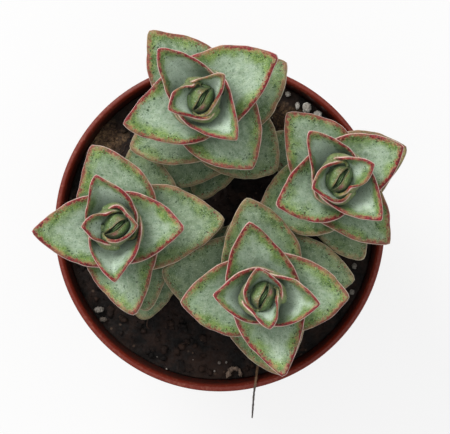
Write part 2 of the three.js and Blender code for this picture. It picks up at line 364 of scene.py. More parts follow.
def stem_point(controls, share):
    a, b, c, d = controls
    rest = 1 - share
    return rest**3 * a + 3 * rest**2 * share * b + 3 * rest * share**2 * c + share**3 * d


def stem_direction(controls, share):
    a, b, c, d = controls
    return unit(bow(b - a, c - b, d - c, share))


def stem_seat(controls, height, heading):
    """Place and axes (columns: out, side, up) of a pair that sits on the stem at a height."""
    share = (height - controls[0][2]) / (controls[3][2] - controls[0][2])
    up = unit(blend(stem_direction(controls, share), np.array([0, 0, 1.0]), LEVELLING))
    turn = math.radians(heading)
    out = np.array([math.cos(turn), math.sin(turn), 0])
    out = unit(out - up * out.dot(up))
    return stem_point(controls, share), np.column_stack([out, np.cross(up, out), up])


def seated(body, seat):
    place, axes = seat
    body.points = body.points @ axes.T + place
    return body


def pair_heights(plant):
    """How high each pair sits, from the top down."""
    heights = [plant["head"][2]]
    for age in range(len(plant["spread"]) - 1):
        heights.append(heights[-1] - spacing_below(age))
    return heights


def plant_axis(plant, seed):
    """The bare stem, with a swollen ring below each pair."""
    controls = stem_controls(plant)
    knots = [height - mid_thickness(age) for age, height in enumerate(pair_heights(plant))]
    turn = full_turn(STEM_SIDES)
    rings = []
    for share in np.linspace(-ROOT_SHARE, 0.98, STEM_STEPS):
        way = stem_direction(controls, max(share, 0))
        centre = stem_point(controls, max(share, 0)) + way * min(share, 0) * ROOT_DEPTH / ROOT_SHARE
        first = unit(np.cross(way, [0, 1, 0]))
        second = np.cross(way, first)
        level = centre[2] * 0.8 + seed * 9
        rough = [noise.noise(Vector((math.cos(t) * 2, math.sin(t) * 2, level))) for t in turn]
        swollen = 0.93 + 0.12 * sum(bell(centre[2], knot, 0.8) for knot in knots)
        size = STEM_RADIUS * swollen * (1 + 0.07 * np.array(rough))
        rings.append(centre + np.outer(size * np.cos(turn), first) + np.outer(size * np.sin(turn), second))
    points = np.concatenate(rings)
    faces = ring_faces(STEM_STEPS, STEM_SIDES)
    faces.append(tuple(range(STEM_SIDES)))
    faces.append(tuple(len(points) - 1 - k for k in range(STEM_SIDES)))
    level = (points[:, 2] - SOIL_LEVEL) / (plant["head"][2] - SOIL_LEVEL)
    return Body(points, faces, level=level)


# Leaves

BLADE_SIDES = 152
BLADE_ROWS = 26
UNDER_ROWS = 11
LIP_ROWS = 6
SMALLEST = 1e-6
# The pale outer part of a margin is this wide, from the lip's middle line. Where a leaf stands
# steeply its lip is seen from above, and the bands of colour lie further out on it.
PALE_WIDTH = 0.34
STEEP_SHIFT = 0.35
LEAN_SHIFT = 0.45


def nearest_on_line(points, line):
    """Distance of each point from a closed line of short straight stretches."""
    nearest = np.full(points.shape[:-1], np.inf)
    for a, b in zip(line, np.roll(line, -1, axis=0)):
        along = b - a
        share = np.clip((points - a) @ along / max(along @ along, SMALLEST), 0, 1)
        gap = points - a - share[..., None] * along
        nearest = np.minimum(nearest, np.einsum("...j,...j", gap, gap))
    return np.sqrt(nearest)


def blade_body(turn, radius, height, thickness, age, seed):
    """A closed leaf skin from its upper face. radius and height hold a row from the middle to the
    margin (down) at each turn (across). The lower face lies square below it by the thickness, and a
    half-round lip joins the two."""
    run, climb = np.gradient(radius, axis=0), np.gradient(height, axis=0)
    length = np.maximum(np.hypot(run, climb), SMALLEST)
    upper = ring(turn, radius, height)
    lower = ring(turn, radius + thickness * climb / length, height - thickness * run / length)

    rim_up, rim_down = upper[-1], lower[-1]
    middle, across = (rim_up + rim_down) / 2, (rim_up - rim_down) / 2
    out = ring(turn, run[-1] / length[-1], climb[-1] / length[-1])
    margin = unit(np.roll(rim_up, -1, axis=0) - np.roll(rim_up, 1, axis=0))
    out = unit(out - margin * np.einsum("ij,ij->i", out, margin)[:, None])
    size = np.linalg.norm(across, axis=1)
    bends = [math.pi / 2 - math.pi * row / LIP_ROWS for row in range(1, LIP_ROWS)]
    lip = [middle + out * size[:, None] * math.cos(bend) + across * math.sin(bend) for bend in bends]

    shown = np.round(np.linspace(0, len(radius) - 1, UNDER_ROWS)).astype(int)
    under = lower[shown[:0:-1]]
    quarter = size * math.pi / 2
    above = nearest_on_line(upper[1:], rim_up) + quarter
    below = -nearest_on_line(under, rim_down) - quarter
    edge = np.concatenate([above, [size * bend for bend in bends], below]) - PALE_WIDTH
    outward = out[:, 0] * np.cos(turn) + out[:, 1] * np.sin(turn)
    edge = edge + STEEP_SHIFT * np.clip(out[:, 2], 0, 1) + LEAN_SHIFT * np.clip(0.4 - outward, 0, 1)

    grid = np.concatenate([upper[1:], lip, under])
    leaf = closed_body(grid, upper[0][0], lower[0][0], age=age, spot=0.0, fade=0.0)
    leaf.values["edge"] = with_ends(edge, 9.0, -9.0)
    leaf.values["blade"] = leaf.points + [0, 0, 40.0 * seed]
    return leaf


def with_ends(grid, top=0.0, bottom=0.0):
    """Values of a closed body's rings, followed by those of its two end points."""
    return np.concatenate([grid.ravel(), [top, bottom]])


def bend_at(share, flank, bend):
    """What a leaf's bend adds outward and to the left, at a share of the way to its tip. flank: how
    much of the left (above 0) or of the right flank's bulge counts there."""
    out, aside, left, right = bend
    bulge = BULGE_SHARE * share * (1 - share**2)
    bulge = bulge * (np.clip(flank, 0, 1) * left - np.clip(-flank, 0, 1) * right)
    return out * share**2, aside * share**2 + bulge


def pair_outline(sweep, age, spread, bends=()):
    """A pair seen from above. bends holds the bends of its two leaves."""
    along, across = np.cos(sweep), np.sin(sweep)
    breadth = signed_power(across, tip_point(age)) * (1 - flank_hollow(age) * np.abs(along) ** 3)
    x, y = spread * along, spread * width_share(age) * breadth
    for end, bend in zip((1, -1), bends):
        out, left = bend_at(np.clip(along * end, 0, 1), np.sign(breadth * end), bend)
        x, y = x + end * out, y + end * left
    return x, y


def even_sweeps(age, spread, count, bends=()):
    """Sweeps at which a pair's outline is cut into stretches of much the same length."""
    fine = np.linspace(0, 2 * math.pi, 4001)
    x, y = pair_outline(fine, age, spread, bends)
    run = np.concatenate([[0], np.cumsum(np.hypot(np.diff(x), np.diff(y)))])
    return np.interp(np.linspace(0, run[-1], count, endpoint=False), run, fine)


def row_shares():
    """Rows from the middle to the margin, closer together near the margin."""
    share = np.linspace(0, 1, BLADE_ROWS)
    return (1 - (1 - share) ** 1.5)[:, None]


def pressed_fold(share, turn, seed):
    """The faint print that a younger leaf's margin leaves across a blade."""
    middle = 0.56 + 0.05 * np.sin(3 * turn + seed) + 0.03 * np.sin(7 * turn + 2 * seed)
    return 0.13 * (bell(share, middle + 0.04, 0.035) - bell(share, middle - 0.04, 0.045))


def joined_pair(age, spread, seed, bends):
    """An open pair whose two leaves have grown together round the stem."""
    sweep = even_sweeps(age, spread, BLADE_SIDES, bends)
    x, y = pair_outline(sweep, age, spread, bends)
    turn = np.arctan2(y, x)
    edge = np.hypot(x, y) - edge_thickness(age) / 2
    edge = edge + drift(x, y, seed, 5.5, 0.5) + drift(x, y, seed + 31, 1.8, 0.12)
    share = row_shares()
    radius = edge * share
    along, across = radius * np.cos(turn), radius * np.sin(turn)
    rise = np.maximum(0, radius - cup_floor(age)) / (spread - cup_floor(age))
    far = np.clip(np.abs(along) / spread, 0, 1)
    half = np.maximum(spread * width_share(age), 1)
    height = tip_rise(age) * rise**FLANK_CURVE
    height = height + 1.1 * (across / half) ** 2 * smooth_step(0.1, 0.5, far)
    swell = drift(along, across, seed + 5, 4.2, 0.55) + drift(along, across, seed + 9, 1.7, 0.14)
    height = height + swell * share + 0.14 * share**12 + pressed_fold(share, turn, seed)
    thickness = blend(mid_thickness(age), edge_thickness(age), share**3)
    return [blade_body(turn, radius, height, thickness, age, seed)]


# The two youngest open pairs still wrap the bud. Of each leaf, one flank laps over the other leaf
# and the other is tucked in behind it. Rows: degrees from the tip, how far the margin stands out as
# a share of the pair's outline, and its height as a share of the tip's.
LAPPED = [(0, 1, 1), (25, 1, 0.92), (55, 0.97, 0.76), (90, 0.92, 0.56), (125, 0.92, 0.32), (160, 0.9, 0.02)]
TUCKED = [(0, 1, 1), (25, 0.98, 0.92), (55, 0.9, 0.77), (90, 0.8, 0.63), (125, 0.76, 0.52), (172, 0.74, 0.1)]
LAP_GAP = 1.05
TUCK_GAP = 0.12
BUD_GRIP = 3.4
TIP_EASE = 9
FLOOR_SHARE = 0.12

BUD_LONG = 3.4
BUD_WIDE = 2.8
BUD_HEIGHT = 6.7
BUD_SINK = 1.4
BUD_VALLEY = 0.56
BUD_SWEEP = 1.0
# How far the slit lies from the bud's middle: one closed leaf is broader than the other.
BUD_LAP = 0.32


def smooth_table(degrees, rows, column):
    """Values of a table's column at some turns, eased by a moving mean."""
    turns = [row[0] for row in rows]
    values = [row[column] for row in rows]
    shifts = np.linspace(-12, 12, 13)
    return sum(np.interp(np.abs(degrees + shift), turns, values) for shift in shifts) / len(shifts)


def spun_back(shift, turn):
    """A shift along X and Y as it is seen from a piece that is turned."""
    cos, sin = math.cos(turn), math.sin(turn)
    return np.array([shift[0] * cos + shift[1] * sin, shift[1] * cos - shift[0] * sin])


def bud_reach(turn, bud_turn, shift, gap):
    """How far out a line around the bud, at a gap from its side, lies from the stem's middle."""
    wide, long = BUD_WIDE + gap, BUD_LONG + gap
    way_x, way_y = np.cos(turn - bud_turn) / wide, np.sin(turn - bud_turn) / long
    middle_x, middle_y = spun_back(shift, bud_turn)
    middle_x, middle_y = middle_x / wide, middle_y / long
    square = way_x**2 + way_y**2
    along = way_x * middle_x + way_y * middle_y
    inside = middle_x**2 + middle_y**2 - 1
    return (along + np.sqrt(along**2 - square * inside)) / square


def cupped_leaf(age, spread, swirl, seed, bud_turn, shift):
    """One of the two leaves of a pair that still wraps the bud. bud_turn is the heading of the line
    across the bud's slit and shift the bud's lean, both seen from this leaf."""
    x, y = pair_outline(even_sweeps(age, spread, BLADE_SIDES), age, spread)
    turn = np.arctan2(y, x)
    degrees = np.degrees(np.abs(turn))
    lapped = swirl * turn > 0
    out_share, up_share = (
        np.where(lapped, smooth_table(degrees, LAPPED, column), smooth_table(degrees, TUCKED, column))
        for column in (1, 2)
    )
    reach = np.where(degrees < 90, np.hypot(x, y), spread * width_share(age)) * out_share
    hug = bud_reach(turn, bud_turn, shift, np.where(lapped, LAP_GAP, TUCK_GAP))
    near = smooth_step(28, 85, degrees) * (1 - age)
    rim = blend(reach - edge_thickness(age) / 2, hug, near) + drift(x, y, seed, 2.6, 0.2)
    lean = shift[0] * np.cos(turn) + shift[1] * np.sin(turn)
    rim = rim + lean * smooth_step(40, 95, degrees) * age
    top = tip_rise(age) * up_share * (1 - 0.2 * age * smooth_step(30, 90, degrees))
    top = np.maximum(top, 0.02) + drift(x, y, seed + 3, 2.6, 0.4) * smooth_step(150, 90, degrees)
    flank = smooth_step(25, 80, degrees)
    floor = BUD_GRIP * (1 - age)
    foot = blend(bud_reach(turn, bud_turn, shift, -0.3), cup_floor(age) * 0.6, age)
    behind = smooth_step(118, 158, degrees)
    rim = blend(rim, 0.7 * foot, behind)
    top = blend(top, floor + 0.1, behind)
    bulge = blend(np.where(lapped, 1.4, 1.1), 0.65, age) * (1 - behind)
    soft = sum(np.roll(rim, step) for step in range(-TIP_EASE, TIP_EASE + 1)) / (2 * TIP_EASE + 1)
    knee_radius = blend(foot, soft, 0.5 + 0.5 * flank) + bulge * flank
    knee_height = blend(floor, top, 0.24 - 0.1 * flank)
    share = row_shares()
    inner = np.clip(share / FLOOR_SHARE, 0, 1)
    bend = np.clip((share - FLOOR_SHARE) / (1 - FLOOR_SHARE), 0, 1)
    side = bow(foot, knee_radius, blend(soft, rim, bend**3), bend)
    radius = np.where(share < FLOOR_SHARE, foot * inner, side)
    height = np.where(share < FLOOR_SHARE, floor * inner**3, bow(floor, knee_height, top, bend))
    swell = drift(radius * np.cos(turn), radius * np.sin(turn), seed + 5, 3.0, 0.3)
    height = height + swell * bend * age
    thickness = blend(mid_thickness(age), edge_thickness(age), bend**1.2)
    leaf = blade_body(turn, radius, height, thickness, age, seed)
    rows = len(leaf.points) // len(turn)
    leaf.values["fade"] = with_ends(np.tile(smooth_step(72, 112, degrees), rows))
    return leaf


def bent(body, age, spread, bend):
    """Bends a young leaf: its skin follows its margin's bend, less so near its middle line."""
    x, y = body.points[:, 0], body.points[:, 1]
    flank = np.clip(y / (0.8 * spread * width_share(age)), -1, 1)
    out, left = bend_at(np.clip(x / spread, 0, 1), flank, bend)
    return body.moved(np.stack([out, left, 0 * out], axis=-1))


def young_pair(age, spread, swirl, seed, bud_turn, shift, bends):
    pair = []
    for end, bend in zip((1, -1), bends):
        other = 0.5 * (1 - end)
        leaf = cupped_leaf(age, spread, swirl, seed + 0.5 * other, bud_turn, shift * end)
        leaf = bent(leaf, age, spread, bend).moved([0, 0, -0.05 * other])
        pair.append(leaf.turned(180 * other))
    return pair


def bud_lobe(side, swirl, seed):
    """One of the bud's two closed leaves: an upright half egg, hollowed along the slit. The slit
    bends like an S, so that each leaf is broad at one end, where it has its tip, and laps round the
    other leaf's tip with its slim end."""
    down = np.linspace(0.02, math.pi - 0.02, 44)[:, None]
    turn = full_turn(84)[None, :]
    girth = np.sin(down) ** 0.66
    across, along = np.cos(turn) * girth, np.sin(turn) * girth
    up = np.cos(down) + 0 * turn
    outer = np.clip(across, 0, 1)
    hollow = 0.05 + BUD_VALLEY * smooth_step(0.15, 1.0, up)
    seam = hollow * np.sqrt(np.clip(1 - (0.96 * along) ** 2, 0, 1))
    seam = seam - side * BUD_LAP * smooth_step(-0.4, 0.4, up) + BUD_SWEEP * swirl * signed_power(along, 2.0)
    x = blend(seam, BUD_WIDE * (1 + 0.04 * np.sin(2 * turn + seed)), outer)
    x = x + 0.08 * np.clip(-across, 0, 1)
    tall = BUD_HEIGHT - (0.45 if side > 0 else 0)
    z = (tall + BUD_SINK) / 2 * (up + 1) - BUD_SINK
    at_tip = bell(along, -0.5 * swirl, 0.26)
    z = z + (0.35 * at_tip + 0.16 * bell(across, 0, 0.09)) * smooth_step(0.1, 0.7, up)
    spot = at_tip * bell(across, 0.26, 0.2) * smooth_step(0.0, 0.5, up) * (1.3 if side < 0 else 0.5)
    grid = np.stack([x, along * BUD_LONG, z], axis=-1)
    body = closed_body(grid, age=-1.0, spot=with_ends(spot), fade=0.0)
    inner = with_ends(across * BUD_WIDE)
    body.values["edge"] = np.where(body.points[:, 2] > 0.45 * BUD_HEIGHT, 2.4 * inner - 0.1, 3.0)
    body.values["blade"] = body.points + [0, 0, 17.0 * seed]
    return body.turned(0 if side > 0 else 180)


def bud_heart(seed):
    """The next pair, still a sliver in the bud's slit."""
    down = np.linspace(0.03, math.pi - 0.05, 30)[:, None]
    turn = full_turn(44)[None, :]
    x = 0.8 * np.cos(turn) * np.sin(down)
    y = 0.66 * BUD_LONG * np.sin(turn) * np.sin(down)
    z = BUD_HEIGHT * (0.5 + 0.45 * np.cos(down)) + 0 * turn
    z = z - 0.5 * bell(x, 0.2 * y / BUD_LONG, 0.13) * smooth_step(0, 0.6, np.cos(down))
    body = closed_body(np.stack([x - BUD_LAP, y, z], axis=-1), edge=3.0, age=-1.0, spot=0.0, fade=1.0)
    body.values["blade"] = body.points + [0, 0, 23.0 * seed]
    return body


def leaned(body, shift):
    """Leans a bud aside: it keeps its foot on the stem."""
    share = smooth_step(-BUD_SINK, 2.4, body.points[:, 2])
    return body.moved(share[:, None] * np.array([*shift, 0]))


def plant_leaves(plant, seed):
    controls = stem_controls(plant)
    bud_turn = math.radians(plant["bud_heading"])
    shift = plant["bud_shift"]
    seat = stem_seat(controls, plant["head"][2], plant["bud_heading"])
    bud = [bud_lobe(side, plant["swirl"], seed + side) for side in (1, -1)] + [bud_heart(seed)]
    bodies = [seated(leaned(body, spun_back(shift, bud_turn)), seat) for body in bud]
    for age, (spread, height) in enumerate(zip(plant["spread"], pair_heights(plant))):
        own = seed * 10 + age
        heading = plant["headings"][age]
        bends = plant["bends"].get(age, (EVEN, EVEN))
        if age < 2:
            turn = math.radians(heading)
            view = bud_turn - turn, spun_back(shift, turn)
            pair = young_pair(age, spread, plant["swirl"], own, *view, bends)
        else:
            pair = joined_pair(age, spread, own, bends)
        seat = stem_seat(controls, height, heading)
        bodies.extend(seated(body, seat) for body in pair)
    return bodies


# Materials


def tone(red, green, blue):
    """A colour as a screen shows it, from 0 to 255, in the renderer's own measure."""
    shares = [part / 255 for part in (red, green, blue)]
    linear = [((x + 0.055) / 1.055) ** 2.4 if x > 0.04045 else x / 12.92 for x in shares]
    return (*linear, 1.0)


class Paint:
    """Builds one node material, with short calls for the nodes that it needs. Its colours are given
    as a screen shows them, from 0 to 255."""

    def __init__(self, name):
        self.material = bpy.data.materials.new(name)
        self.material.use_nodes = True
        self.tree = self.material.node_tree
        self.shader = self.tree.nodes["Principled BSDF"]
        self.place = self.node("ShaderNodeNewGeometry").outputs["Position"]

    def node(self, kind, inputs=None, **settings):
        made = self.tree.nodes.new(kind)
        for key, value in settings.items():
            setattr(made, key, value)
        for key, value in (inputs or {}).items():
            self.set(made.inputs[key], value)
        return made

    def set(self, socket, value):
        if isinstance(value, bpy.types.NodeSocket):
            self.tree.links.new(value, socket)
        else:
            socket.default_value = value

    def value(self, name, output="Fac"):
        return self.node("ShaderNodeAttribute", attribute_name=name).outputs[output]

    def parts(self, vector):
        return self.node("ShaderNodeSeparateXYZ", {0: vector}).outputs

    def math(self, operation, a, b=0.0, c=0.0, clamp=False):
        made = self.node("ShaderNodeMath", {0: a, 1: b, 2: c}, operation=operation, use_clamp=clamp)
        return made.outputs[0]

    def product(self, *values):
        total = values[0]
        for value in values[1:]:
            total = self.math("MULTIPLY", total, value)
        return total

    def scaled(self, value, by, plus):
        return self.math("MULTIPLY_ADD", value, by, plus)

    def torn(self, value, grain, reach):
        """A value that a noise pushes up and down within a reach."""
        return self.math("ADD", value, self.scaled(grain, reach, -reach / 2))

    def step(self, value, low, high, to_low=0.0, to_high=1.0):
        """Smooth ramp of a value from one range to another."""
        made = self.node(
            "ShaderNodeMapRange",
            {"Value": value, "From Min": low, "From Max": high, "To Min": to_low, "To Max": to_high},
            interpolation_type="SMOOTHSTEP",
        )
        return made.outputs[0]

    def noise(self, vector, scale, detail=3.0, rough=0.5, output="Fac"):
        inputs = {"Vector": vector, "Scale": scale, "Detail": detail, "Roughness": rough}
        return self.node("ShaderNodeTexNoise", inputs).outputs[output]

    def streaks(self, vector, scale, detail=3.0, rough=0.5):
        """Noise over a vector that is stretched by a scale along each axis."""
        stretched = self.node("ShaderNodeMapping", {"Vector": vector, "Scale": scale}).outputs[0]
        return self.noise(stretched, 1.0, detail, rough)

    def cells(self, vector, scale):
        """Distance from the nearest of some scattered points, and three chances that it has."""
        inputs = {"Vector": vector, "Scale": scale, "Randomness": 1.0}
        made = self.node("ShaderNodeTexVoronoi", inputs, feature="F1")
        chances = self.node("ShaderNodeSeparateColor", {"Color": made.outputs["Color"]})
        return made.outputs["Distance"], chances.outputs

    # How open a point is within a reach, from the ambient occlusion node. It drives painted shade.
    def openness(self, reach_m):
        return self.node("ShaderNodeAmbientOcclusion", {"Distance": reach_m}, samples=6).outputs["AO"]

    def mix(self, share, a, b):
        made = self.node("ShaderNodeMix", {"Factor": share}, data_type="RGBA")
        for number, colour in ((6, a), (7, b)):
            self.set(made.inputs[number], tone(*colour) if isinstance(colour, tuple) else colour)
        return made.outputs[2]

    def bump(self, height, strength, distance_m):
        inputs = {"Height": height, "Strength": strength, "Distance": distance_m}
        return self.node("ShaderNodeBump", inputs).outputs[0]

    def finish(self, base, roughness, **sockets):
        """Fills the shader's sockets, with _ for a space in their names."""
        self.set(self.shader.inputs["Base Color"], base)
        self.set(self.shader.inputs["Roughness"], roughness)
        for key, value in sockets.items():
            self.set(self.shader.inputs[key.replace("_", " ")], value)
        return self.material


# How near two leaf faces come, in metres, where the fold between them gets a near-black painted shade.
CREASE_SHADE_REACH_M = 0.0011
# How near leaves come, in metres, where they get a dark green painted shade.
CUP_SHADE_REACH_M = 0.006
# The pores of a leaf, in two sorts: cells along a millimetre, and the largest radius in a cell.
PORES = ((1.15, 0.33), (1.9, 0.4))


class LeafPaint(Paint):
    """The values and noises that the coats of a leaf share. edge: how far a point lies in from the
    pale margin, or below 0 on it and underneath. age: that of its pair, or below 0 in the bud."""

    def __init__(self):
        super().__init__("leaf")
        self.blade = self.value("blade", "Vector")
        self.edge, self.age, self.fade = self.value("edge"), self.value("age"), self.value("fade")
        self.patches = self.noise(self.blade, 0.22, 2.0)
        self.mottle = self.noise(self.blade, 0.6, 4.0, 0.65)
        self.blots = self.noise(self.blade, 1.2, 3.0, 0.6)
        self.fine = self.noise(self.blade, 2.8, 4.0, 0.65)
        self.bud = self.step(self.age, -0.1, -0.7)
        self.old = self.step(self.age, 2.5, 5.5)


def leaf_material():
    """Waxy blue-green leaves with a dark red line inside a pale horny margin."""
    p = LeafPaint()
    face = with_smudges(p, leaf_face(p))
    for scale, size in PORES:
        face = with_pores(p, face, scale, size)
    face = with_fold_shade(p, with_margin(p, face))
    relief = p.math("ADD", p.product(p.noise(p.blade, 4.5, 4.0, 0.65), 0.4), p.product(p.blots, 0.6))
    return p.finish(
        face,
        p.step(p.fine, 0.3, 0.7, 0.42, 0.6),
        Normal=p.bump(relief, 0.4, 0.0004),
        Subsurface_Weight=0.05,
        Subsurface_Radius=(0.0012, 0.0018, 0.0006),
        Sheen_Weight=0.08,
        Sheen_Roughness=0.5,
        IOR=1.42,
    )


def leaf_face(p):
    """Green under a waxy bloom, duller where leaves are old and greener on their backs, with pale flecks of
    painted glint.
    """
    green = p.mix(p.step(p.mottle, 0.36, 0.6), (82, 112, 50), (126, 152, 78))
    green = p.mix(p.step(p.fine, 0.5, 0.72, 0.0, 0.8), green, (156, 178, 118))
    streaks = p.streaks(p.blade, (0.45, 1.3, 0.6))
    wax = p.mix(p.step(streaks, 0.3, 0.7), (136, 159, 133), (166, 184, 159))
    wax = p.mix(p.step(p.blots, 0.5, 0.34, 0.0, 0.3), wax, (104, 130, 98))
    wax = p.mix(p.step(p.age, 2.6, 0.6, 0.0, 0.75), wax, (210, 227, 211))
    inside = p.step(p.torn(p.edge, p.patches, 8.0), 0.8, 4.2)
    face = p.mix(p.product(inside, p.step(p.mottle, 0.25, 0.6, 0.75, 1.0)), green, wax)
    dull = p.mix(p.step(p.mottle, 0.3, 0.65), (74, 97, 64), (124, 140, 108))
    face = p.mix(p.product(p.old, 0.8), face, dull)
    back = p.mix(p.step(p.mottle, 0.3, 0.7), (80, 108, 50), (120, 142, 86))
    old_back = p.mix(p.mottle, (96, 122, 88), (144, 162, 132))
    back = p.mix(p.step(p.age, 0.5, 3.0, 0.1, 0.6), back, old_back)
    face = p.mix(p.step(p.edge, -0.2, -0.6), face, back)
    face = p.mix(p.bud, face, bud_face(p))
    face = p.mix(p.step(p.fine, 0.46, 0.3, 0.0, 0.75), face, (70, 96, 64))
    # Painted highlight: pale glints scattered over the wax.
    painted_glints = p.noise(p.blade, 3.6, 3.0, 0.7)
    return p.mix(p.step(painted_glints, 0.56, 0.7, 0.0, 0.62), face, (208, 222, 202))


def bud_face(p):
    """Green, with a flush at the tips of the closed leaves and a plain sliver between them."""
    green = p.mix(p.step(p.mottle, 0.3, 0.7), (66, 88, 38), (112, 134, 74))
    green = p.mix(p.step(p.fine, 0.5, 0.75, 0.0, 0.4), green, (146, 142, 104))
    green = p.mix(p.product(p.value("spot"), 0.7), green, (146, 84, 88))
    return p.mix(p.product(p.fade, 0.75), green, (72, 94, 54))


def with_smudges(p, face):
    """A few soft grey-green marks, as old drops and rubs leave them in the wax."""
    distance, chances = p.cells(p.blade, 0.42)
    near = p.step(p.torn(distance, p.noise(p.blade, 2.2), 0.3), 0.3, 0.08)
    mark = p.product(near, p.math("LESS_THAN", chances[0], 0.3), p.scaled(p.bud, -0.5, 0.5))
    return p.mix(mark, face, (86, 112, 80))


def with_pores(p, face, scale, size):
    """Lays dark pores over a leaf, thick near parts of its margin and few in its middle."""
    push = p.noise(p.blade, 1.5, 2.0, output="Color")
    pushed = p.node("ShaderNodeVectorMath", {0: p.blade, 1: push}, operation="ADD").outputs[0]
    distance, chances = p.cells(pushed, scale)
    inward = p.math("ADD", p.edge, p.scaled(p.noise(p.blade, 0.4), 12.0, -6.2))
    dot = p.product(
        p.step(p.math("SUBTRACT", distance, p.scaled(chances[1], 0.6 * size, 0.4 * size)), 0.06, -0.06),
        p.math("LESS_THAN", chances[0], p.step(inward, 3.4, 0.2, 0.04, 0.85)),
        p.math("SUBTRACT", 1.0, p.bud),
        p.step(p.edge, -0.5, 0.6, 0.3, 0.95),
        p.step(p.edge, 5.5, 1.5, 0.6, 1.0),
    )
    ruddy = p.product(p.step(p.edge, 2.2, 1.0), p.math("GREATER_THAN", chances[2], 0.35))
    return p.mix(dot, face, p.mix(ruddy, (44, 70, 42), (104, 26, 30)))


def with_margin(p, face):
    """Lays the bands of a margin over a leaf: a warm flush and a blush inside, a torn dark red line,
    and the pale horny edge. They turn brown on old leaves and faint in the bud and where they fade."""
    wavy = p.torn(p.edge, p.noise(p.blade, 3.0, 4.0, 0.75), 0.7)
    inward = p.math("SUBTRACT", wavy, p.step(p.blots, 0.3, 0.66, 0.22, 0.88))
    marked = p.product(p.scaled(p.fade, -0.85, 1.0), p.step(p.patches, 0.36, 0.48, 0.45, 1.0))
    awake = p.step(p.age, -0.9, -0.1, 0.3, 1.0)
    warm = p.product(
        p.step(wavy, 1.7, 0.7),
        p.step(p.mottle, 0.42, 0.6),
        p.step(p.edge, -0.7, -0.2, 0.15, 1.0),
        p.step(p.age, -0.9, 0.5, 0.0, 0.45),
        p.step(p.age, 2.0, 5.0, 1.0, 0.5),
    )
    blush = p.product(
        p.step(inward, 0.75, 0.05),
        p.step(p.mottle, 0.3, 0.6, 0.4, 0.85),
        p.step(p.edge, -0.7, -0.2, 0.2, 1.0),
        p.step(p.age, -0.9, -0.1, 0.2, 1.0),
        p.step(p.age, 1.8, 4.5, 1.0, 0.4),
        marked,
    )
    line = p.product(
        p.step(p.edge, -0.17, -0.01),
        p.step(inward, 0.16, -0.1),
        p.step(p.mottle, 0.3, 0.5, 0.5, 1.0),
        p.step(p.age, 1.8, 5.0, 0.98, 0.35),
        awake,
        marked,
    )
    pale = p.product(
        p.step(p.edge, 0.0, -0.13),
        p.step(wavy, -0.5, -0.24),
        p.step(p.mottle, 0.3, 0.6, 0.5, 0.9),
        p.scaled(p.fade, -0.55, 1.0),
        awake,
    )
    face = p.mix(warm, face, (184, 138, 88))
    red_share = p.step(p.fine, 0.36, 0.64)
    for share, grain, young_dark, young_light, old_dark, old_light in (
        (blush, p.fine, (134, 74, 58), (182, 134, 112), (120, 104, 70), (158, 136, 98)),
        (line, red_share, (62, 5, 12), (150, 30, 36), (108, 58, 48), (146, 100, 76)),
        (pale, p.fine, (188, 132, 124), (246, 226, 216), (176, 154, 118), (224, 208, 174)),
    ):
        young = p.mix(grain, young_dark, young_light)
        face = p.mix(share, face, p.mix(p.old, young, p.mix(p.fine, old_dark, old_light)))
    return face


def with_fold_shade(p, face):
    """Paints shade: near black in the tight folds between leaves, and dark green where leaves stand close.
    """
    # Painted shade, near black, where two leaf faces meet in a fold.
    crease_shade = p.product(
        p.step(p.openness(CREASE_SHADE_REACH_M), 0.56, 0.18, 0.0, 0.9),
        p.step(p.age, 4.0, 1.5, 0.4, 1.0),
        p.scaled(p.bud, -0.6, 1.0),
    )
    face = p.mix(crease_shade, face, (22, 32, 16))
    # Painted shade, dark green, where leaves stand close round a cup.
    return p.mix(p.step(p.openness(CUP_SHADE_REACH_M), 0.72, 0.2, 0.0, 0.46), face, (50, 80, 46))


def stem_material():
    """Green and smooth near the top, grey-brown and corky near the soil."""
    p = Paint("stem_bark")
    rings = p.streaks(p.place, (600, 600, 2600), 4.0, 0.6)
    cork = p.mix(p.step(rings, 0.3, 0.7), (69.3, 56.3, 46.6), (120.7, 106.3, 89))
    fresh = p.mix(p.noise(p.place, 1500.0), (114.6, 134.4, 89), (148.9, 155.5, 111.3))
    green_share = p.step(p.math("ADD", p.value("level"), p.product(rings, 0.3)), 0.35, 0.95)
    return p.finish(p.mix(green_share, cork, fresh), 0.75, Normal=p.bump(rings, 0.5, 0.0005))


